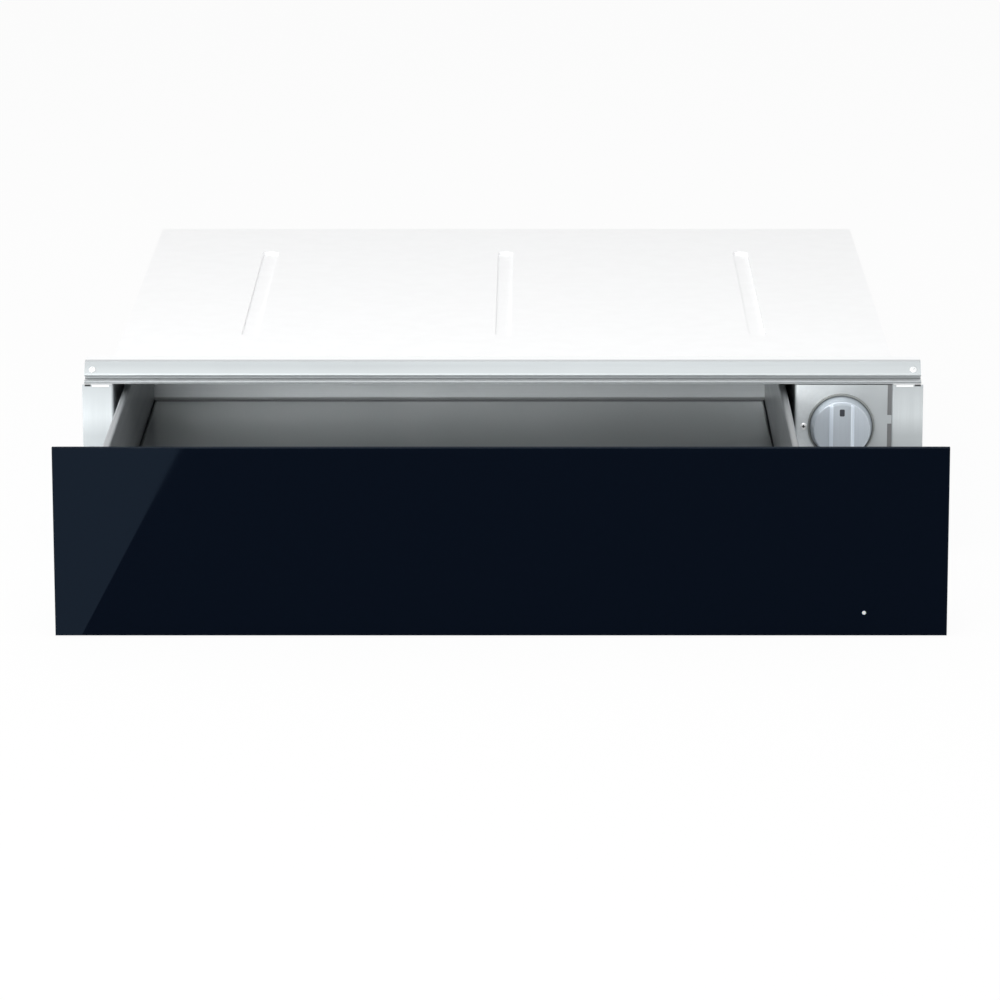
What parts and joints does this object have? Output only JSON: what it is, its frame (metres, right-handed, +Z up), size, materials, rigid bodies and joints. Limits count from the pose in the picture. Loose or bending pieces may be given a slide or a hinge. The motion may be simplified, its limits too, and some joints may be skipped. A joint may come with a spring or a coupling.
{
  "type": "warming drawer",
  "caption": "Built-in warming drawer: steel housing with flanges, black glass front on a double-walled bin, ball-bearing slides, knob thermostat, tubular heater and fan.",
  "frame": {"origin": "middle of the niche's front edge on the niche floor, on the underside of the base pan", "axes": "+X to the right seen from the front, +Y into the cabinet, +Z up; the drawer opens towards -Y"},
  "size_m": [0.595, 0.754, 0.1389],
  "materials": {
    "galvanised_sheet": "galvanised sheet, soft spangle",
    "pale_coat": "very pale smooth coat",
    "stainless_sheet": "fine brushed stainless sheet",
    "black_front_glass": "back-printed black glass, polished",
    "black_bezel": "black moulded edge frame",
    "tinted_floor_glass": "grey glass plate, polished",
    "dark_seal": "dark silicone rubber",
    "glass_fleece": "needled glass fleece",
    "silver_knob": "silver lacquered plastic",
    "grey_collar": "dark grey moulded plastic",
    "dark_pointer": "dark inlay",
    "clear_lens": "clear light guide",
    "zinc_rail": "bright zinc on rolled steel",
    "polished_steel": "polished steel",
    "bright_reflector": "bright aluminised sheet",
    "heater_sheath": "darkened heater sheath",
    "motor_iron": "laminated motor iron",
    "moulded_plastic": "heat-resisting moulded plastic"
  },
  "bodies": {
    "housing": {"base_pan": "galvanised_sheet", "side_panel_left": "stainless_sheet", "side_panel_right": "stainless_sheet", "top_cover": "pale_coat", "rear_panel": "galvanised_sheet", "trim_strip": "stainless_sheet", "chamber_side_wall": "galvanised_sheet", "chamber_rear_wall": "galvanised_sheet", "control_fascia": "stainless_sheet", "front_screws": "polished_steel", "knob_collar": "grey_collar", "thermostat": "moulded_plastic", "pilot_lamp": "clear_lens", "terminal_block": "moulded_plastic", "cable_gland": "moulded_plastic", "heater_element": "heater_sheath", "heat_shield": "bright_reflector", "heater_brackets": "galvanised_sheet", "fan_scroll": "bright_reflector", "fan_duct": "bright_reflector", "fan_motor": "motor_iron", "drawer_switch": "moulded_plastic", "latch_case": "moulded_plastic", "heat_limiter": "moulded_plastic", "sensor_bulb": "polished_steel", "sensor_clips": "galvanised_sheet", "slide_outer_left": "zinc_rail", "slide_outer_right": "zinc_rail", "slide_rivets": "polished_steel", "housing_screws": "polished_steel"},
    "drawer": {"front_glass": "black_front_glass", "glass_bezel": "black_bezel", "front_carrier": "stainless_sheet", "bin_front": "stainless_sheet", "light_pipe": "clear_lens", "front_bumpers": "dark_seal", "bin_deck": "stainless_sheet", "bin_side_left": "stainless_sheet", "bin_side_right": "stainless_sheet", "bin_rear": "stainless_sheet", "floor_seal": "dark_seal", "floor_plate": "tinted_floor_glass", "floor_insulation": "glass_fleece", "latch_striker": "galvanised_sheet", "slide_inner_left": "zinc_rail", "slide_inner_right": "zinc_rail", "deck_rivets": "polished_steel"},
    "knob": {"knob": "silver_knob", "knob_pointer": "dark_pointer", "knob_shaft": "polished_steel"},
    "fan": {"fan_impeller": "bright_reflector", "fan_shaft": "polished_steel"},
    "switch_button": {"switch_button": "moulded_plastic"},
    "latch_plunger": {"latch_plunger": "moulded_plastic"},
    "middle_rail_left": {"slide_middle_left": "zinc_rail"},
    "outer_cage_left": {"ball_cage_outer_left": "polished_steel"},
    "inner_cage_left": {"ball_cage_inner_left": "polished_steel"},
    "middle_rail_right": {"slide_middle_right": "zinc_rail"},
    "outer_cage_right": {"ball_cage_outer_right": "polished_steel"},
    "inner_cage_right": {"ball_cage_inner_right": "polished_steel"}
  },
  "joints": [
    {"name": "drawer_slide", "type": "slide", "parent": "housing", "child": "drawer", "axis": [0, -1, 0], "range_m": [-0.2015, 0.2185]},
    {"name": "knob_turn", "type": "hinge", "parent": "housing", "child": "knob", "pos_m": [0.2383, 0, 0.0942], "axis": [0, 1, 0], "range_deg": [0, 270]},
    {"name": "fan_spin", "type": "hinge", "parent": "housing", "child": "fan", "pos_m": [-0.034, 0.48, 0.084], "axis": [0, 1, 0], "continuous": true},
    {"name": "switch_press", "type": "slide", "parent": "housing", "child": "switch_button", "axis": [0, 1, 0], "range_m": [0, 0.0025], "stiffness_N_per_m": 300},
    {"name": "latch_press", "type": "slide", "parent": "housing", "child": "latch_plunger", "axis": [0, 1, 0], "range_m": [0, 0.006], "stiffness_N_per_m": 600},
    {"name": "middle_rail_left_slide", "type": "slide", "parent": "housing", "child": "middle_rail_left", "axis": [0, -1, 0], "range_m": [-0.10085, 0.10935]},
    {"name": "outer_cage_left_slide", "type": "slide", "parent": "housing", "child": "outer_cage_left", "axis": [0, -1, 0], "range_m": [-0.05047, 0.05473]},
    {"name": "inner_cage_left_slide", "type": "slide", "parent": "housing", "child": "inner_cage_left", "axis": [0, -1, 0], "range_m": [-0.15122, 0.16398]},
    {"name": "middle_rail_right_slide", "type": "slide", "parent": "housing", "child": "middle_rail_right", "axis": [0, -1, 0], "range_m": [-0.10085, 0.10935]},
    {"name": "outer_cage_right_slide", "type": "slide", "parent": "housing", "child": "outer_cage_right", "axis": [0, -1, 0], "range_m": [-0.05047, 0.05473]},
    {"name": "inner_cage_right_slide", "type": "slide", "parent": "housing", "child": "inner_cage_right", "axis": [0, -1, 0], "range_m": [-0.15122, 0.16398]}
  ],
  "couplings": [
    {"joint": "middle_rail_left_slide", "follows": "drawer_slide", "ratio": 0.5},
    {"joint": "outer_cage_left_slide", "follows": "drawer_slide", "ratio": 0.25},
    {"joint": "inner_cage_left_slide", "follows": "drawer_slide", "ratio": 0.75},
    {"joint": "middle_rail_right_slide", "follows": "drawer_slide", "ratio": 0.5},
    {"joint": "outer_cage_right_slide", "follows": "drawer_slide", "ratio": 0.25},
    {"joint": "inner_cage_right_slide", "follows": "drawer_slide", "ratio": 0.75}
  ]
}
